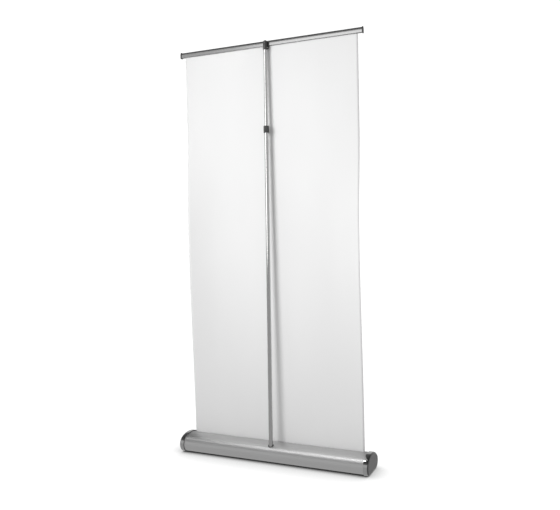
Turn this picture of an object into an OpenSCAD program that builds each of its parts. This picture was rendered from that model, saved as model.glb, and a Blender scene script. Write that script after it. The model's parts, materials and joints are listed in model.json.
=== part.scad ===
// Roll-up banner stand: a domed aluminium base with a sprung roller inside, a film banner that
// leans back as it rises, a snap rail that grips its top edge, and a telescopic pole behind it.
// Origin: floor level, under the banner slot, halfway along the base.
// X runs along the base, +Y points to the pole side (the back), +Z is up. Millimetres.

/* [Overall] */
// Width of the banner film
banner_w = 914; // [900:1:930]
// Height of the top edge of the rail above the floor
stand_h = 2058; // [2000:1:2120]
// Lean of the banner towards the back, in degrees
banner_lean = 3.3; // [3:0.1:3.6]
// Length that the base adds beyond the banner at each end
base_over = 42; // [40:1:50]
// Length that the rail adds beyond the banner at each end
rail_over = 25; // [20:1:30]

/* [Base] */
// Distance from the slot to the front of the base
base_front = 85; // [82:1:90]
// Distance from the slot to the back of the base
base_back = 97; // [95:1:100]
// Radius of the front side
front_r = 32; // [30:1:34]
// Radius of the back side
back_r = 39; // [38:1:41]
// Radius of the domed top
crest_r = 147; // [142:1:160]
// Wall of the base extrusion
wall = 2; // [1.8:0.1:2.4]
// Height of the rubber foot strips
foot_h = 4; // [4:0.1:5]
// Width of the banner slot
slot_w = 9; // [9:0.5:10]

/* [End caps] */
// Width of each end cap along the base
cap_w = 24; // [23:1:26]
// Length of the base extrusion that an end cap covers
cap_grip = 7; // [6:0.5:8]
// How far an end cap stands proud of the extrusion
cap_proud = 3.5; // [3:0.1:3.9]
// Radius of the rounded rim of each end cap
rim_r = 8; // [7:0.5:9]
// Thickness of the inset end plate
plate_t = 3; // [2.5:0.1:3.2]
// Thickness of the end wall that carries the roller bracket
end_wall_t = 4.5; // [4:0.1:5]

/* [Roller] */
// Outer radius of the roller tube
roller_r = 15; // [14:0.5:16]
// Wall of the roller tube
roller_wall = 1.2; // [1:0.1:1.5]
// Thickness of the leader and film that stay wound on the roller
wound_t = 1; // [0.8:0.1:1.2]
// Depth of the roller axis below the slot, along the film
roller_drop = 47; // [45:1:50]
// Radius of the spring arbor and of the idler pin
arbor_r = 4; // [3.5:0.5:4.5]

/* [Pole] */
// Distance from the slot back to where the pole enters the base
hole_y = 62; // [60:1:64]
// Outer radius of the lower tubes
lower_r = 10; // [9.5:0.5:10]
// Outer radius of the telescopic upper tube
upper_r = 8.5; // [8:0.5:8.5]
// Height of the twist lock above the base, along the pole
lock_s = 1547; // [1500:1:1600]
// Distance from the film to the pole axis at the rail
hook_gap = 19; // [18.5:0.5:20]
// Radial running clearance of turning and sliding fits
fit = 0.05; // [0.03:0.01:0.08]

/* [Rail] */
// Height of the rail
rail_h = 26; // [25:0.5:27]
// Thickness of the rail
rail_t = 14; // [13.5:0.5:15]
// Height of the flat part of the rail's sides, above which they curve in
rail_flat = 12; // [11:0.5:13]

/* [Hidden] */
$fn = 96;
// Gap between touching faces, between fixed pieces that fit loosely, and around pressed-in pieces
eps = 0.01;
clear = 0.1;
snug = 0.04;

// Base profile in the (Y, Z) plane: two side circles, a domed top tangent to both, a flat bottom
back_c = [base_back - back_r, foot_h + back_r];
front_c = [front_r - base_front, foot_h + front_r];
side_span = norm(front_c - back_c);
to_front = (front_c - back_c) / side_span;
crest_along = (pow(crest_r - back_r, 2) - pow(crest_r - front_r, 2) + pow(side_span, 2)) / (2 * side_span);
crest_drop = sqrt(pow(crest_r - back_r, 2) - pow(crest_along, 2));
crest_c = back_c + crest_along * to_front + crest_drop * [-to_front[1], to_front[0]];
back_way = (back_c - crest_c) / norm(back_c - crest_c);
front_way = (front_c - crest_c) / norm(front_c - crest_c);
slot_z = crest_c[1] + sqrt(pow(crest_r, 2) - pow(crest_c[0], 2));
hole_z = back_c[1] + sqrt(pow(back_r, 2) - pow(hole_y - back_c[0], 2));

// Stations along X, from the middle of the base outwards
cap_out = banner_w / 2 + base_over;
cap_in = cap_out - cap_w;
casing_half = cap_in + cap_grip;
recess_x = cap_out - plate_t - 0.5;
plate_inset = rim_r - cap_proud + 1;
end_wall_x = recess_x - end_wall_t;
rail_half = banner_w / 2 + rail_over;
roller_half = banner_w / 2 + 6;

// Screw bosses of the base extrusion
boss_r = 4.2;
boss_hole_r = 2;
boss_inset = 10;
boss_points = [
    [base_back - boss_inset, back_c[1]],
    [boss_inset - base_front, front_c[1]],
    [40, foot_h + boss_inset],
    [-40, foot_h + boss_inset]
];
rib_angles = [0, 180, -90, -90];
rib_t = 3;
screw_len = 30;
screw_head_r = 3.8;
screw_head_h = 2.4;

// Roller axis, in the film's own frame and in the (Y, Z) plane
film_t = 0.5;
film_gap = 0.3;
roll_r = roller_r + wound_t;
roller_n = -(roll_r + film_gap + film_t / 2);
roller_c = [
    roller_n * cos(banner_lean) - roller_drop * sin(banner_lean),
    slot_z - roller_n * sin(banner_lean) - roller_drop * cos(banner_lean)
];
plug_len = 30;
flange_r = 17;
flange_t = 4;
spring_x0 = -roller_half + plug_len + 4;
spring_x1 = -150;
arbor_end_x = spring_x1 + 20;
bracket_half = 20;
bracket_t = 5;
bracket_screw_z = 14;

// Rail, in the film's own frame: the film lies at y = 0 and z is the distance above the slot
rail_top = (stand_h - slot_z) / cos(banner_lean);
rail_bottom = rail_top - rail_h;
rail_r = rail_t / 2;
rail_corner_r = 2;
rail_top_r = 4.4;
rail_rise = rail_h - rail_top_r - rail_flat;
rail_side_r = (pow(rail_r, 2) - pow(rail_top_r, 2) + pow(rail_rise, 2)) / (2 * (rail_r - rail_top_r));
rail_turn = atan2(rail_rise, rail_side_r - rail_r);
rail_split = 0.35;
hinge_z = rail_h - 3.1;
bead_r = 1.5;
knuckle_r = 3;
knuckle_clear_r = 3.9;
groove = [2.2, 4.9];
groove_depth = 12;
rail_cap_t = 4;
rail_cap_proud = 2.5;
rail_plug_len = 18;

// Pole, in its own frame: z is the distance from the hole in the base, along the axis
hook_level = 10;
hook_t = rail_bottom + hook_level;
hook_yz = [
    hook_gap * cos(banner_lean) + hook_t * sin(banner_lean),
    slot_z - hook_gap * sin(banner_lean) + hook_t * cos(banner_lean)
];
pole_tilt = atan2(hook_yz[0] - hole_y, hook_yz[1] - hole_z);
hook_s = norm(hook_yz - [hole_y, hole_z]);
socket_r = 13;
socket_floor_z = back_c[1] - sqrt(pow(back_r - wall, 2) - pow(hole_y + lower_r - back_c[0], 2)) + 1;
bottom_s = socket_floor_z - hole_z;
joint_s = (bottom_s + lock_s) / 2;
lower_bore_r = upper_r + fit;
ferrule_half = 60;
anchor_s = 930;
anchor_len = 20;
cord_r = 2;
collet_r = 11.6;
collar_r = 13.5;
collar_low_s = lock_s - 17;
collar_high_s = lock_s + 16;
upper_low_s = lock_s - 200;
upper_high_s = hook_s + 5;
boss_low_s = hook_s - 31;
boss_high_s = hook_s + 9.5;
hook_boss_r = upper_r + 2;
hook_w = 30;
hook_drop = 16;
hook_rise = 22;
hook_plate_t = 3.5;
hook_corner_r = 4;
hook_rail_gap = 0.5;
arm_t = 3;
tongue_t = 1.5;
tongue_h = 9;
hook_pin_s = hook_s - 22;
hook_pin_r = 1.5;

// Colours
satin_aluminium = "#b4b6b8";
polished_aluminium = "#d4d6d8";
chrome = "#8f9296";
steel = "#9a9c9e";
dark_plastic = "#4a4b4d";
grey_plastic = "#77787a";
rubber = "#222222";
felt = "#2e2e30";
film = "#f4f4f2";
cord = "#303030";

// Extrudes a (Y, Z) outline along X
module along_x(from, to)
    translate([from, 0, 0]) rotate([90, 0, 90]) linear_extrude(to - from) children();

// Places children in the film's own frame
module on_film() translate([0, 0, slot_z]) rotate([-banner_lean, 0, 0]) children();

// Places children in the pole's own frame
module on_pole() translate([0, hole_y, hole_z]) rotate([-pole_tilt, 0, 0]) children();

module at_left() mirror([1, 0, 0]) children();

module tube(r, bore, from, to)
    translate([0, 0, from]) difference() {
        cylinder(r = r, h = to - from);
        translate([0, 0, -1]) cylinder(r = bore, h = to - from + 2);
    }

// Sector of the base outline that the domed top fills
module crest_sector() polygon([
    back_c, crest_c + 2 * crest_r * back_way, crest_c + 2 * crest_r * front_way, front_c
]);

// Outline of the base, grown outwards by g
module base_outline(g) {
    translate(back_c) circle(r = back_r + g);
    translate(front_c) circle(r = front_r + g);
    intersection() {
        translate(crest_c) circle(r = crest_r + g, $fn = 240);
        crest_sector();
    }
    polygon([back_c, front_c, [front_c[0], foot_h - g], [back_c[0], foot_h - g]]);
}

// Slot outline in the (Y, Z) plane, from depth low to height high around the top of the base
module slot_outline(width, low, high)
    translate([0, slot_z]) rotate(-banner_lean) translate([-width / 2, low]) square([width, high - low]);

// Round bosses for the end cap screws, each with a rib to the nearest wall
module screw_bosses() for (i = [0 : len(boss_points) - 1]) translate(boss_points[i]) {
    circle(r = boss_r);
    rotate(rib_angles[i]) translate([0, -rib_t / 2]) square([boss_inset, rib_t]);
}

module casing() color(satin_aluminium) difference() {
    along_x(-casing_half, casing_half) difference() {
        union() {
            difference() {
                base_outline(0);
                base_outline(-wall);
            }
            intersection() {
                base_outline(-wall / 2);
                union() {
                    screw_bosses();
                    slot_outline(slot_w + 2 * wall, -9, 4);
                }
            }
        }
        for (p = boss_points) translate(p) circle(r = boss_hole_r);
        slot_outline(slot_w, -12, 6);
    }
    on_pole() cylinder(r = socket_r - 1, h = 40, center = true);
}

// Solid end cap with a rounded rim, before it is hollowed
module end_cap_blank() hull() {
    along_x(cap_in, cap_out - rim_r) base_outline(cap_proud, $fn = 64);
    for (turn = [18:18:90])
        along_x(cap_out - rim_r, cap_out - rim_r + rim_r * sin(turn))
            base_outline(cap_proud - rim_r + rim_r * cos(turn), $fn = 64);
}

module end_cap() color(chrome) {
    difference() {
        end_cap_blank();
        along_x(cap_in - 1, casing_half + clear) base_outline(clear);
        along_x(casing_half, end_wall_x) base_outline(-wall);
        along_x(recess_x, cap_out + 1) base_outline(-plate_inset);
        along_x(end_wall_x - 1, recess_x + 1) for (p = boss_points) translate(p) circle(r = boss_hole_r);
        along_x(recess_x - screw_head_h - clear, recess_x + 1)
            for (p = boss_points) translate(p) circle(r = screw_head_r + clear);
        along_x(end_wall_x - 1, end_wall_x + 3)
            for (side = [-1, 1]) translate(roller_c + [0, side * bracket_screw_z]) circle(r = 1.6);
    }
    along_x(casing_half + clear, end_wall_x) difference() {
        intersection() {
            screw_bosses();
            base_outline(-wall / 2);
        }
        for (p = boss_points) translate(p) circle(r = boss_hole_r);
    }
}

module end_plate() color(grey_plastic)
    along_x(recess_x + eps, recess_x + plate_t) base_outline(-plate_inset - clear);

module end_cap_screws() color(steel) for (p = boss_points) translate([0, p[0], p[1]]) {
    rotate([0, 90, 0]) translate([0, 0, recess_x - screw_head_h]) cylinder(r = screw_head_r, h = screw_head_h);
    rotate([0, 90, 0]) translate([0, 0, recess_x - screw_len]) cylinder(r = boss_hole_r - fit, h = screw_len - 1);
}

module foot_strip(y, width) color(rubber)
    translate([-casing_half + 10, y - width / 2, 0]) cube([2 * casing_half - 20, width, foot_h]);

// Felt strip on one side of the slot: side is -1 at the front and 1 at the back
module slot_felt(side) color(felt) along_x(-banner_w / 2 - 4, banner_w / 2 + 4)
    translate([0, slot_z]) rotate(-banner_lean)
        translate([side * (slot_w / 2 - 1.6) - 1.5, -8.5]) square([3, 6.5]);

// Plate that holds the end of the arbor or of the idler pin
module roller_bracket() color(steel) along_x(end_wall_x - bracket_t, end_wall_x) difference() {
    translate(roller_c) square(2 * bracket_half, center = true);
    translate(roller_c) circle(r = arbor_r + snug);
    for (side = [-1, 1]) translate(roller_c + [0, side * bracket_screw_z]) circle(r = 1.6);
}

module bracket_screws() color(steel)
    for (end = [0, 1], side = [-1, 1]) mirror([end, 0, 0])
        translate([end_wall_x - bracket_t, roller_c[0], roller_c[1] + side * bracket_screw_z])
            rotate([0, 90, 0]) {
                translate([0, 0, -2]) cylinder(r = 3, h = 2);
                cylinder(r = 1.55, h = bracket_t + 2.5);
            }

// Round bar or tube on the roller axis
module on_roller(r, bore, from, to) translate([0, roller_c[0], roller_c[1]]) rotate([0, 90, 0])
    if (bore > 0) tube(r, bore, from, to);
    else translate([0, 0, from]) cylinder(r = r, h = to - from);

module spring_arbor() color(steel) on_roller(arbor_r, 0, -end_wall_x + eps, arbor_end_x);

module arbor_collar() color(grey_plastic) on_roller(9, arbor_r + snug, spring_x1 + 1, spring_x1 + 15);

module torsion_spring() color(steel) on_roller(8, 6, spring_x0, spring_x1);

module idler_pin() color(steel) on_roller(arbor_r, 0, roller_half - plug_len - 8, end_wall_x - eps);

module roller_tube() color(satin_aluminium)
    on_roller(roller_r, roller_r - roller_wall, -roller_half, roller_half);

// Plug in one end of the roller tube, turning on the arbor or on the idler pin
module roller_plug() color(dark_plastic) {
    on_roller(roller_r - roller_wall - snug, arbor_r + fit, roller_half - plug_len, roller_half + eps);
    on_roller(flange_r, arbor_r + fit, roller_half + eps, roller_half + flange_t);
}

module banner_roll() color(film) on_roller(roll_r, roller_r + snug, -banner_w / 2, banner_w / 2);

module banner_sheet() color(film) on_film()
    translate([-banner_w / 2, -film_t / 2, -roller_drop])
        cube([banner_w, film_t, rail_bottom + 14 + roller_drop]);

module pole_socket() color(dark_plastic) difference() {
    intersection() {
        on_pole() cylinder(r = socket_r, h = 200, center = true);
        along_x(-socket_r - 1, socket_r + 1) base_outline(-wall - eps);
    }
    on_pole() translate([0, 0, bottom_s]) cylinder(r = lower_r + clear, h = 200);
}

// Dark ring that lies on the curved back of the base around the pole
module socket_ring() color(dark_plastic) difference() {
    intersection() {
        on_pole() cylinder(r = socket_r + 1, h = 60, center = true);
        along_x(-socket_r - 3, socket_r + 3) difference() {
            base_outline(1.4);
            base_outline(eps);
        }
        translate([-40, hole_y - 40, hole_z - 40]) cube(80);
    }
    on_pole() cylinder(r = lower_r + clear, h = 80, center = true);
}

// Outline of the closed rail, grown by g; the film lies at x = 0
module rail_outline(g) {
    translate([0, rail_h - rail_top_r]) circle(r = rail_top_r + g);
    intersection() {
        translate([rail_r - rail_side_r, rail_flat]) circle(r = rail_side_r + g);
        translate([rail_side_r - rail_r, rail_flat]) circle(r = rail_side_r + g);
        translate([-rail_t, rail_flat]) square([2 * rail_t, (rail_side_r + g) * sin(rail_turn)]);
    }
    translate([-rail_r - g, rail_corner_r]) square([rail_t + 2 * g, rail_flat - rail_corner_r]);
    translate([rail_corner_r - rail_r, -g]) square([rail_t - 2 * rail_corner_r, rail_corner_r + g + eps]);
    for (side = [-1, 1]) translate([side * (rail_r - rail_corner_r), rail_corner_r]) circle(r = rail_corner_r + g);
}

module rail_extrude(from, to) on_film() translate([0, 0, rail_bottom]) along_x(from, to) children();

module rail_back() color(satin_aluminium)
    rail_extrude(-rail_half + rail_cap_t + eps, rail_half - rail_cap_t - eps) {
    difference() {
        intersection() {
            rail_outline(0);
            translate([rail_split, -1]) square([rail_t, hinge_z]);
        }
        translate([0, hinge_z]) circle(r = knuckle_clear_r);
        translate([groove[0], -1]) square([groove[1] - groove[0], groove_depth + 1]);
        translate([0, 3]) square([1.4, 5]);
    }
    translate([0, hinge_z]) {
        circle(r = bead_r);
        rotate(-80) translate([0, -0.6]) square([5, 1.2]);
    }
}

module rail_flap() color(satin_aluminium)
    rail_extrude(-rail_half + rail_cap_t + 0.5, rail_half - rail_cap_t - 0.5) difference() {
        union() {
            intersection() {
                rail_outline(0);
                translate([-rail_t - rail_split, -1]) square([rail_t, rail_h + 2]);
            }
            translate([0, hinge_z]) intersection() {
                circle(r = knuckle_r);
                polygon([[0, 0], 9 * [cos(14), sin(14)], [9, 9], [-9, 9], [-9, -9], 9 * [cos(250), sin(250)]]);
            }
        }
        translate([0, hinge_z]) circle(r = bead_r + fit);
        translate([-5.5, 3]) square([3.3, 12]);
    }

module rail_grip() color(rubber) rail_extrude(-banner_w / 2, banner_w / 2)
    translate([rail_split - snug, 3.1]) square([1, 4.8]);

// End cap of the rail: a flange over both shells and a plug in the groove of the back one
module rail_cap() color(dark_plastic) {
    rail_extrude(rail_half - rail_cap_t, rail_half) rail_outline(rail_cap_proud);
    rail_extrude(rail_half - rail_plug_len, rail_half - rail_cap_t + 1)
        translate([groove[0] + clear, 1]) square([groove[1] - groove[0] - 2 * clear, groove_depth - 2]);
}

module pole_foot() color(dark_plastic) on_pole() translate([0, 0, bottom_s + eps]) {
    cylinder(r = lower_r, h = 4 - eps);
    cylinder(r = lower_bore_r - snug, h = 24);
}

module bottom_tube() color(polished_aluminium) on_pole() tube(lower_r, lower_bore_r, bottom_s + 4 + eps, joint_s);

module ferrule() color(satin_aluminium) on_pole()
    tube(lower_bore_r - snug, lower_bore_r - 1.4, joint_s - ferrule_half, joint_s + ferrule_half);

module middle_tube() color(polished_aluminium) on_pole() tube(lower_r, lower_bore_r, joint_s + eps, lock_s);

module shock_cord() color(cord) on_pole()
    translate([0, 0, bottom_s + 24.1]) cylinder(r = cord_r, h = anchor_s - bottom_s - 24.2);

module cord_anchor() color(dark_plastic) on_pole()
    translate([0, 0, anchor_s]) cylinder(r = lower_bore_r - snug, h = anchor_len);

// Slotted collet on the top end of the middle tube; its fingers grip the upper tube
module collet() color(grey_plastic) on_pole() difference() {
    union() {
        tube(collet_r, lower_r + snug, lock_s - 15, lock_s);
        tube(collet_r - 1, lower_bore_r, lock_s + eps, lock_s + 12);
        tube(collet_r, lower_bore_r, lock_s + eps, lock_s + 3);
        tube(collet_r, lower_r + snug, lock_s - 1, lock_s + 1);
    }
    for (turn = [0, 90]) rotate(turn) translate([-0.75, -20, lock_s + 4]) cube([1.5, 40, 20]);
}

// Turning sleeve of the twist lock, with grip flutes
module lock_collar() color(dark_plastic) on_pole() difference() {
    translate([0, 0, collar_low_s]) cylinder(r = collar_r, h = collar_high_s - collar_low_s);
    translate([0, 0, collar_low_s - 1]) cylinder(r = lower_r + clear, h = 10);
    translate([0, 0, lock_s - 15.5]) cylinder(r = collet_r + fit, h = 28);
    translate([0, 0, lock_s]) cylinder(r = upper_r + clear, h = 20);
    for (turn = [0:30:330]) rotate(turn)
        translate([collar_r + 1.6, 0, collar_low_s + 4]) cylinder(r = 2.4, h = collar_high_s - collar_low_s - 8, $fn = 24);
}

module upper_tube() color(polished_aluminium) on_pole() difference() {
    tube(upper_r, upper_r - 1, upper_low_s, upper_high_s);
    translate([0, 0, hook_pin_s]) rotate([0, 90, 0]) cylinder(r = hook_pin_r + fit, h = 30, center = true);
}

// Plug that guides the lower end of the upper tube
module tube_guide() color(dark_plastic) on_pole() {
    translate([0, 0, upper_low_s - 6]) cylinder(r = upper_r, h = 6 - eps);
    translate([0, 0, upper_low_s - 2]) cylinder(r = upper_r - 1.02, h = 16);
}

// Plate of the hook behind the rail, with rounded corners, an arm below the rail and a tongue up its groove
module hook_clip() {
    plate_y = rail_r + hook_rail_gap;
    tongue_y = (groove[0] + groove[1] - tongue_t) / 2;
    on_film() translate([0, plate_y + hook_plate_t, rail_bottom]) rotate([90, 0, 0]) linear_extrude(hook_plate_t) {
        translate([-hook_w / 2, hook_corner_r - hook_drop]) square([hook_w, hook_drop + hook_rise - 2 * hook_corner_r]);
        translate([hook_corner_r - hook_w / 2, -hook_drop])
            square([hook_w - 2 * hook_corner_r, hook_drop + hook_rise]);
        for (x = [-1, 1], z = [hook_corner_r - hook_drop, hook_rise - hook_corner_r])
            translate([x * (hook_w / 2 - hook_corner_r), z]) circle(r = hook_corner_r);
    }
    rail_extrude(-hook_w / 2 + hook_corner_r, hook_w / 2 - hook_corner_r) {
        translate([tongue_y, -hook_rail_gap - arm_t]) square([plate_y + 1 - tongue_y, arm_t]);
        translate([tongue_y, -hook_rail_gap - arm_t]) square([tongue_t, arm_t + hook_rail_gap + tongue_h]);
    }
}

// Hook at the top of the pole: a boss on the tube and a clip that holds the rail
module top_hook() color(dark_plastic) difference() {
    union() {
        on_pole() translate([0, 0, boss_low_s]) cylinder(r = hook_boss_r, h = boss_high_s - boss_low_s);
        hook_clip();
    }
    on_pole() {
        translate([0, 0, boss_low_s - 1]) cylinder(r = upper_r + snug, h = upper_high_s - boss_low_s + 1);
        translate([0, 0, hook_pin_s]) rotate([0, 90, 0]) cylinder(r = hook_pin_r + fit, h = 40, center = true);
    }
}

module hook_pin() color(steel) on_pole()
    translate([0, 0, hook_pin_s]) rotate([0, 90, 0]) cylinder(r = hook_pin_r, h = 25.6, center = true);

// Domed cap on top of the hook's boss
module hook_cap() color(dark_plastic) on_pole() translate([0, 0, boss_high_s + eps])
    rotate_extrude() {
        square([5.5, 2]);
        translate([0, 2]) intersection() {
            translate([0, -2.5]) circle(r = 6.04);
            square([5.5, 6]);
        }
    }

casing();
at_left() end_cap();  // end_cap_left
end_cap();  // end_cap_right
at_left() end_plate();  // end_plate_left
end_plate();  // end_plate_right
at_left() end_cap_screws();  // end_cap_screws_left
end_cap_screws();  // end_cap_screws_right
foot_strip(front_c[0] + 6, 12);  // foot_strip_front
foot_strip(0, 16);  // foot_strip_middle
foot_strip(back_c[0] + 1, 14);  // foot_strip_back
slot_felt(-1);  // slot_felt_front
slot_felt(1);  // slot_felt_back
at_left() roller_bracket();  // roller_bracket_left
roller_bracket();  // roller_bracket_right
bracket_screws();
spring_arbor();
arbor_collar();
torsion_spring();
idler_pin();
pole_socket();
socket_ring();
roller_tube();
at_left() roller_plug();  // spring_plug
roller_plug();  // idler_plug
banner_roll();
banner_sheet();
rail_back();
rail_flap();
rail_grip();
at_left() rail_cap();  // rail_cap_left
rail_cap();  // rail_cap_right
pole_foot();
bottom_tube();
ferrule();
middle_tube();
shock_cord();
cord_anchor();
collet();
lock_collar();
upper_tube();
tube_guide();
top_hook();
hook_pin();
hook_cap();
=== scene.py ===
"""Looks of the roll-up banner stand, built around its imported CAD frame."""
import json
import math

import bpy
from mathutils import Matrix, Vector


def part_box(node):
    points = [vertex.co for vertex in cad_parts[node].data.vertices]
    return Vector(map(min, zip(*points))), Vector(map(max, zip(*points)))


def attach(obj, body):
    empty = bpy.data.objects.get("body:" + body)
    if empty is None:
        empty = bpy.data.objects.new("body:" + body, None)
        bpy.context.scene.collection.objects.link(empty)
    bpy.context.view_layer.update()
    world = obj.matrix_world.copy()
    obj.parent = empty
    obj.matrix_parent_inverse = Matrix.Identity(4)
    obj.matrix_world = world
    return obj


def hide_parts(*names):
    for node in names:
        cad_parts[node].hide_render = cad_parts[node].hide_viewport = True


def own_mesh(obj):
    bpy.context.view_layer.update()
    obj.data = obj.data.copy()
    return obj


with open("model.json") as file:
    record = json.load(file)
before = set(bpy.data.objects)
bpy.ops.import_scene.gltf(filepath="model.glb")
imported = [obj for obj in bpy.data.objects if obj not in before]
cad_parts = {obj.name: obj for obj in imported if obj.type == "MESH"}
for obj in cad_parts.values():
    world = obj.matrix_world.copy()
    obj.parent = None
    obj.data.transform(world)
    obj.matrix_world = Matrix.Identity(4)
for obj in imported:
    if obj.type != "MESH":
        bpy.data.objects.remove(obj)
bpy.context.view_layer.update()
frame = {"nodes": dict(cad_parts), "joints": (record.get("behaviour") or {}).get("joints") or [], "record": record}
NODES = frame["nodes"]
JOINTS = {j["name"]: j for j in frame["joints"]}

# The film's own directions, and its middle at the roller, from the CAD's slab of film
HALF_SLAB = 0.00025
FILM_UP = -Vector(JOINTS["banner_retract"]["axis"])
FILM_BACK = Vector((0, FILM_UP.z, -FILM_UP.y))
FILM_LOW, FILM_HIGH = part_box("banner_sheet")
FILM_START = Vector((0, FILM_LOW.y + HALF_SLAB, FILM_LOW.z))


# ---------------------------------------------------------------- camera, stage and light

# The camera: metres, degrees and millimetres
CAMERA_PLACE = (-1.249, 2.890, 1.001)
CAMERA_YAW = 23
CAMERA_PITCH = 0.34
CAMERA_LENS = 40.4
CAMERA_SENSOR = 36.0

# What the eye sees as white paper, and the floor that takes the base's contact shadow
WHITE_STRENGTH = 1.1
FLOOR_HALF = 30.0
SHADOW_REACH = 0.3
SHADOW_SAMPLES = 16
FLOOR_STOPS = ((0.0, 0.02), (0.14, 0.04), (0.25, 0.2), (0.5, 0.53), (0.8, 0.84), (0.95, 1.0))

# What the stand sees instead: the floor's glow, and a room from eye level (0) to overhead (1)
FLOOR_GLOW = 0.5
ROOM_STOPS = ((0.0, 0.64), (0.45, 0.62), (0.6, 0.14), (0.85, 0.08))

# Soft lights that nothing mirrors: place, target, (width, height), watts and degrees of spread
FILM_LIGHTS = {
    "key": ((1.30, 2.95, 2.0), (-0.5, 0.0, 1.2), (1.5, 1.9), 18.4, 76),
    "front": ((1.0, -3.2, 2.0), (0.0, 0.0, 1.0), (1.8, 2.0), 18, 90),
}
# Lights that some nodes mirror and nothing else sees: place, target, (width, height), watts and
# what those nodes' names start with
MIRRORED_LIGHTS = {
    "key_on_pole": (
        (1.30, 2.95, 1.95), (0.0, 0.1, 2.0), (1.4, 2.3), 40,
        ("bottom_tube", "middle_tube", "upper_tube", "lock_collar", "collet", "top_hook", "hook_"),
    ),
    "key_on_rail": ((0.60, 2.95, 2.2), (0.0, 0.1, 2.0), (1.4, 1.8), 9, ("rail_",)),
    "over_caps": ((1.0, 0.36, 4.5), (0.2, 0.1, 0.0), (2.2, 0.9), 80, ("end_",)),
    "overhead": ((0.45, 0.7, 4.3), (0.0, 0.1, 0.0), (2.0, 3.0), 66, ("casing", "socket_ring")),
}


def add_camera():
    """The camera stands behind the stand, about a metre above the floor, and looks level."""
    data = bpy.data.cameras.new("camera")
    data.lens = CAMERA_LENS
    data.sensor_width = CAMERA_SENSOR
    data.clip_start = 0.05
    data.clip_end = 60
    cam = bpy.data.objects.new("camera", data)
    cam.location = CAMERA_PLACE
    yaw, pitch = math.radians(CAMERA_YAW), math.radians(CAMERA_PITCH)
    level = math.cos(pitch)
    forward = Vector((math.sin(yaw) * level, -math.cos(yaw) * level, math.sin(pitch)))
    cam.rotation_mode = "QUATERNION"
    cam.rotation_quaternion = forward.to_track_quat("-Z", "Y")
    bpy.context.scene.collection.objects.link(cam)
    bpy.context.scene.camera = cam


def rgba(level):
    return (level, level, level, 1)


def seen_or_lit(nt, seen, lit):
    """One shader for the camera's own rays and another for the light that reaches the stand."""
    path = nt.nodes.new("ShaderNodeLightPath")
    mix = nt.nodes.new("ShaderNodeMixShader")
    nt.links.new(path.outputs["Is Camera Ray"], mix.inputs["Fac"])
    nt.links.new(lit.outputs[0], mix.inputs[1])
    nt.links.new(seen.outputs[0], mix.inputs[2])
    return mix.outputs[0]


def ramp_of(nt, value, stops):
    """A grey ramp through (position, grey) stops."""
    ramp = nt.nodes.new("ShaderNodeValToRGB")
    elements = ramp.color_ramp.elements
    while len(elements) < len(stops):
        elements.new(0.5)
    for element, (place, level) in zip(elements, stops):
        element.position = place
        element.color = rgba(level)
    nt.links.new(value, ramp.inputs["Fac"])
    return ramp.outputs["Color"]


def add_floor():
    """A wide floor. To the eye it is white where it is open and dark where the base covers it. On
    the stand it casts an even, duller glow."""
    mesh = bpy.data.meshes.new("floor")
    far = FLOOR_HALF
    corners = [(-far, -far, 0), (far, -far, 0), (far, far, 0), (-far, far, 0)]
    mesh.from_pydata(corners, [], [(0, 1, 2, 3)])
    floor = bpy.data.objects.new("floor", mesh)
    bpy.context.scene.collection.objects.link(floor)
    mat = bpy.data.materials.new("floor_white")
    mat.use_nodes = True
    nt = mat.node_tree
    nt.nodes.clear()
    out = nt.nodes.new("ShaderNodeOutputMaterial")
    cover = nt.nodes.new("ShaderNodeAmbientOcclusion")
    cover.samples = SHADOW_SAMPLES
    cover.inputs["Distance"].default_value = SHADOW_REACH
    seen = nt.nodes.new("ShaderNodeEmission")
    seen.inputs["Strength"].default_value = WHITE_STRENGTH
    nt.links.new(ramp_of(nt, cover.outputs["AO"], FLOOR_STOPS), seen.inputs["Color"])
    lit = nt.nodes.new("ShaderNodeEmission")
    lit.inputs["Strength"].default_value = FLOOR_GLOW
    nt.links.new(seen_or_lit(nt, seen, lit), out.inputs["Surface"])
    mesh.materials.append(mat)


def add_surroundings():
    """White to the eye, but to the stand a grey room whose ceiling is darker than its walls."""
    world = bpy.data.worlds.new("studio")
    bpy.context.scene.world = world
    world.use_nodes = True
    nt = world.node_tree
    nt.nodes.clear()
    out = nt.nodes.new("ShaderNodeOutputWorld")
    seen = nt.nodes.new("ShaderNodeBackground")
    seen.inputs["Color"].default_value = rgba(1)
    seen.inputs["Strength"].default_value = WHITE_STRENGTH
    lit = nt.nodes.new("ShaderNodeBackground")
    coords = nt.nodes.new("ShaderNodeTexCoord")
    split = nt.nodes.new("ShaderNodeSeparateXYZ")
    nt.links.new(coords.outputs["Generated"], split.inputs[0])
    nt.links.new(ramp_of(nt, split.outputs["Z"], ROOM_STOPS), lit.inputs["Color"])
    nt.links.new(seen_or_lit(nt, seen, lit), out.inputs["Surface"])


def add_area_light(name, place, target, size, watts, spread=180):
    """A rectangular light at place that faces target."""
    data = bpy.data.lights.new(name, "AREA")
    data.shape = "RECTANGLE"
    data.size, data.size_y = size
    data.energy = watts
    data.spread = math.radians(spread)
    light = bpy.data.objects.new(name, data)
    light.location = place
    light.rotation_mode = "QUATERNION"
    light.rotation_quaternion = (Vector(target) - Vector(place)).to_track_quat("-Z", "Y")
    bpy.context.scene.collection.objects.link(light)
    return light


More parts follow.
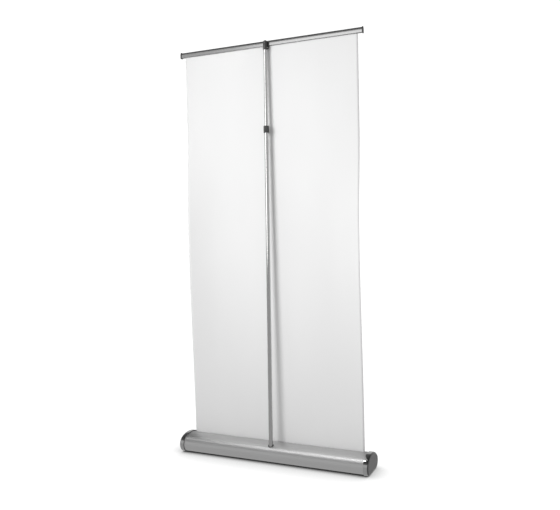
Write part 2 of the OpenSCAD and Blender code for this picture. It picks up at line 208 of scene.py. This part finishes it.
def add_lights():
    """A softbox behind the stand, to the pole's left as the camera sees it, lights the banner's
    back, and one in front of it the front. Four more are seen only as reflections: in the pole, in
    the rail, in the end caps and, as a bright line, along the base."""
    for name, (place, target, size, watts, spread) in FILM_LIGHTS.items():
        light = add_area_light(name, place, target, size, watts, spread)
        light.visible_glossy = False
    for name, (place, target, size, watts, starts) in MIRRORED_LIGHTS.items():
        light = add_area_light(name, place, target, size, watts)
        light.visible_diffuse = False
        receivers = bpy.data.collections.new(name + "_receivers")
        for node in NODES:
            if node.startswith(starts):
                receivers.objects.link(NODES[node])
        light.light_linking.receiver_collection = receivers


# ---------------------------------------------------------------- materials

ANY_WAY = (1, 1, 1)
ALONG_X = (0.02, 1, 1)
ALONG_POLE = (1, 1, 0.02)

# Metals: darkest and lightest grey, lowest and highest roughness, streaks per metre and their
# direction, and relief
METALS = {
    "satin_aluminium": (0.59, 0.63, 0.44, 0.48, 900, ALONG_X, 0.03),
    "rail_aluminium": (0.46, 0.50, 0.24, 0.28, 900, ALONG_X, 0.03),
    "polished_aluminium": (0.48, 0.54, 0.12, 0.16, 700, ALONG_POLE, 0.04),
    "chrome": (0.46, 0.50, 0.03, 0.06, 80, ANY_WAY, 0.0),
    "steel": (0.48, 0.56, 0.28, 0.40, 300, ANY_WAY, 0.05),
}
# Everything moulded or woven: darkest and lightest grey, lowest and highest roughness, grains per
# metre, and relief
PLASTICS = {
    "grey_plastic": (0.15, 0.17, 0.38, 0.46, 1500, 0.10),
    "dark_plastic": (0.035, 0.045, 0.30, 0.40, 1500, 0.10),
    "rubber": (0.018, 0.025, 0.70, 0.80, 1200, 0.15),
    "felt": (0.02, 0.05, 0.95, 1.0, 2500, 0.6),
    "cord": (0.02, 0.04, 0.80, 0.90, 1500, 0.4),
}
# Painted dark reflection on a chromed cap's lip: its grey, and how far the lip's normal leans along X
# where that grey begins and where it is full
LIP_REFLECTION_GREY = 0.11
REFLECTION_LIP_FROM, REFLECTION_LIP_TO = 0.2, 0.5


def new_material(name):
    mat = bpy.data.materials.new(name)
    mat.use_nodes = True
    nt = mat.node_tree
    shader = nt.nodes["Principled BSDF"]
    return mat, nt, shader


def noise(nt, scale, stretch=ANY_WAY, detail=4.0):
    """A noise texture in the object's own metres, squeezed by stretch along each axis."""
    coords = nt.nodes.new("ShaderNodeTexCoord")
    mapping = nt.nodes.new("ShaderNodeMapping")
    mapping.inputs["Scale"].default_value = stretch
    texture = nt.nodes.new("ShaderNodeTexNoise")
    texture.inputs["Scale"].default_value = scale
    texture.inputs["Detail"].default_value = detail
    nt.links.new(coords.outputs["Object"], mapping.inputs["Vector"])
    nt.links.new(mapping.outputs["Vector"], texture.inputs["Vector"])
    return texture.outputs["Fac"]


def between(nt, fac, low, high):
    """Spreads a noise, which keeps mostly to 0.3..0.7, over low..high."""
    span = nt.nodes.new("ShaderNodeMapRange")
    span.inputs["From Min"].default_value = 0.3
    span.inputs["From Max"].default_value = 0.7
    span.inputs["To Min"].default_value = low
    span.inputs["To Max"].default_value = high
    nt.links.new(fac, span.inputs["Value"])
    return span.outputs["Result"]


def tint(nt, fac, dark, light):
    """Mixes two greys by a texture."""
    mix = nt.nodes.new("ShaderNodeMix")
    mix.data_type = "RGBA"
    mix.inputs["A"].default_value = rgba(dark)
    mix.inputs["B"].default_value = rgba(light)
    nt.links.new(fac, mix.inputs["Factor"])
    return mix.outputs["Result"]


def bump(nt, shader, height, strength, distance, edge=0):
    """A fine relief, over edges that look rounded by the radius edge."""
    node = nt.nodes.new("ShaderNodeBump")
    node.inputs["Strength"].default_value = strength
    node.inputs["Distance"].default_value = distance
    nt.links.new(height, node.inputs["Height"])
    if edge:
        soft = nt.nodes.new("ShaderNodeBevel")
        soft.samples = 4
        soft.inputs["Radius"].default_value = edge
        nt.links.new(soft.outputs["Normal"], node.inputs["Normal"])
    nt.links.new(node.outputs["Normal"], shader.inputs["Normal"])


def metal(name, dark, light, rough_low, rough_high, streak_scale, streak_stretch, relief):
    """Metal with drawn streaks: they vary the colour, the roughness and, a little, the surface."""
    mat, nt, shader = new_material(name)
    streaks = noise(nt, streak_scale, streak_stretch, detail=6.0)
    nt.links.new(tint(nt, between(nt, streaks, 0, 1), dark, light), shader.inputs["Base Color"])
    nt.links.new(between(nt, streaks, rough_low, rough_high), shader.inputs["Roughness"])
    shader.inputs["Metallic"].default_value = 1.0
    bump(nt, shader, streaks, relief, distance=0.0002, edge=0.0004)
    return mat


def paint_lip_dark_reflection(mat):
    """Darkens what faces the stand's two ends, the rounded lip where a cap meets its end plate, as a painted dark
    reflection.
    """
    nt = mat.node_tree
    color = nt.nodes["Principled BSDF"].inputs["Base Color"]
    coords = nt.nodes.new("ShaderNodeTexCoord")
    split = nt.nodes.new("ShaderNodeSeparateXYZ")
    size = nt.nodes.new("ShaderNodeMath")
    size.operation = "ABSOLUTE"
    fade = nt.nodes.new("ShaderNodeMapRange")
    fade.inputs["From Min"].default_value = REFLECTION_LIP_FROM
    fade.inputs["From Max"].default_value = REFLECTION_LIP_TO
    mix = nt.nodes.new("ShaderNodeMix")
    mix.data_type = "RGBA"
    mix.inputs["B"].default_value = rgba(LIP_REFLECTION_GREY)
    nt.links.new(coords.outputs["Normal"], split.inputs[0])
    nt.links.new(split.outputs["X"], size.inputs[0])
    nt.links.new(size.outputs[0], fade.inputs["Value"])
    nt.links.new(fade.outputs["Result"], mix.inputs["Factor"])
    nt.links.new(color.links[0].from_socket, mix.inputs["A"])
    nt.links.new(mix.outputs["Result"], color)


def plastic(name, dark, light, rough_low, rough_high, grain_scale, relief):
    """Moulded plastic, rubber or felt: mottled colour and a fine grain."""
    mat, nt, shader = new_material(name)
    mottle = noise(nt, 60, detail=3.0)
    nt.links.new(tint(nt, between(nt, mottle, 0, 1), dark, light), shader.inputs["Base Color"])
    nt.links.new(between(nt, mottle, rough_low, rough_high), shader.inputs["Roughness"])
    bump(nt, shader, noise(nt, grain_scale), relief, distance=0.0003, edge=0.0005)
    return mat


def film_material():
    """Matt white banner film with a fine grain and slight cloudiness."""
    mat, nt, shader = new_material("film")
    cloud = noise(nt, 3.0, stretch=(1, 1, 0.4), detail=2.0)
    nt.links.new(tint(nt, between(nt, cloud, 0, 1), 0.80, 0.83), shader.inputs["Base Color"])
    shader.inputs["Roughness"].default_value = 0.5
    shader.inputs["Specular IOR Level"].default_value = 0.3
    bump(nt, shader, noise(nt, 900, detail=2.0), 0.08, distance=0.0002)
    return mat


def make_materials():
    """One material for each slot in the record, by the slot's name."""
    materials = {name: metal(name, *values) for name, values in METALS.items()}
    # The chrome caps' rounded lips get a painted dark reflection in their colour
    paint_lip_dark_reflection(materials["chrome"])
    materials.update({name: plastic(name, *values) for name, values in PLASTICS.items()})
    materials["film"] = film_material()
    return materials


def paint_cad(materials):
    """Gives every CAD node the procedural material of its slot in the record."""
    for row in frame["record"]["subparts"]:
        mesh = NODES[row["node"]].data
        mesh.materials.clear()
        mesh.materials.append(materials[row["material_slot"]])


# ---------------------------------------------------------------- shading of the end caps

SMOOTH_UNDER = 30


def smooth_facets(node):
    """Shades a faceted node as the rounded shape that its flats stand for: a corner takes the mean
    of the flats that meet there at under SMOOTH_UNDER degrees. No vertex moves."""
    mesh = NODES[node].data
    least = math.cos(math.radians(SMOOTH_UNDER))
    spots = [tuple(round(c, 6) for c in v.co) for v in mesh.vertices]
    around = {}
    for face in mesh.polygons:
        flat = tuple(round(c, 3) for c in face.normal)
        for v in face.vertices:
            around.setdefault(spots[v], set()).add(flat)
    normals = []
    for face in mesh.polygons:
        for v in face.vertices:
            flats = [Vector(flat) for flat in sorted(around[spots[v]])]
            near = [flat for flat in flats if face.normal.dot(flat) > least]
            normals.append(sum(near, Vector()).normalized() if near else face.normal.copy())
        face.use_smooth = True
    mesh.normals_split_custom_set(normals)


# ---------------------------------------------------------------- the film

FILM_THICKNESS = 0.0004
COLUMNS, ROWS = 72, 96

# Along the film, in metres: how much of its lower end the base keeps flat, and of its upper end the
# rail
BASE_HOLD = 0.06
RAIL_HOLD = 0.03

# Across the film, in metres: how wide and deep its edges curl, and how deep its faint folds are
CURL_WIDTH = 0.17
CURL_DEPTH = 0.026
FOLD_DEPTH = 0.0016

# Shares of the free length in between: how far curl and folds take to grow and to fade, and where
# the film is flat again
CURL_GROWS = 0.5
FOLD_GROWS = 0.35
FADES = 0.25
FLAT_FROM = 0.80


def ease(share):
    """0 below a share of 0, 1 above a share of 1, and smooth in between."""
    share = min(1.0, max(0.0, share))
    return share * share * (3 - 2 * share)


def fold_wave(x, free):
    """Two waves across the film, of which the finer drifts sideways as the film rises."""
    return math.sin(19 * x + 0.9) + 0.5 * math.sin(31 * x - 1.3 * free + 2.0)


def add_film(material):
    """The banner film: one sheet from the roller to the rail, whose side edges curl back a little
    at mid height, where nothing holds them. The top fifth of its free length is flat, because that
    is what still stands between the slot and the rail when the banner is wound in."""
    half = FILM_HIGH.x
    length = (FILM_HIGH.z - FILM_LOW.z) / FILM_UP.z
    verts = []
    for j in range(ROWS + 1):
        t = length * j / ROWS
        free = max(0.0, (t - BASE_HOLD) / (length - BASE_HOLD - RAIL_HOLD))
        fade = ease((FLAT_FROM - free) / FADES)
        bow = CURL_DEPTH * ease(free / CURL_GROWS) * fade
        slack = FOLD_DEPTH * ease(free / FOLD_GROWS) * fade
        for i in range(COLUMNS + 1):
            x = half * (2 * i / COLUMNS - 1)
            past = max(0.0, abs(x) - (half - CURL_WIDTH)) / CURL_WIDTH
            lift = bow * past ** 2
            # The curl takes this much of the width, so that the film doesn't stretch
            pull = (2 / 3) * bow ** 2 / CURL_WIDTH * past ** 3
            place = FILM_START + FILM_UP * t + FILM_BACK * (lift + slack * fold_wave(x, free))
            verts.append((math.copysign(abs(x) - pull, x), place.y, place.z))
    wide = COLUMNS + 1
    corners = [j * wide + i for j in range(ROWS) for i in range(COLUMNS)]
    mesh = bpy.data.meshes.new("banner_film")
    mesh.from_pydata(verts, [], [(a, a + 1, a + 1 + wide, a + wide) for a in corners])
    mesh.materials.append(material)
    for p in mesh.polygons:
        p.use_smooth = True
    film = bpy.data.objects.new("banner_film", mesh)
    bpy.context.scene.collection.objects.link(film)
    thick = film.modifiers.new("thickness", "SOLIDIFY")
    thick.thickness = FILM_THICKNESS
    thick.offset = 0.0
    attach(film, "base")
    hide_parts("banner_sheet")
    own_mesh(film)


add_camera()
bpy.context.scene.view_settings.view_transform = "Standard"
add_surroundings()
add_floor()
add_lights()
MATERIALS = make_materials()
paint_cad(MATERIALS)
for cap in ("end_cap_left", "end_cap_right"):
    smooth_facets(cap)
add_film(MATERIALS["film"])
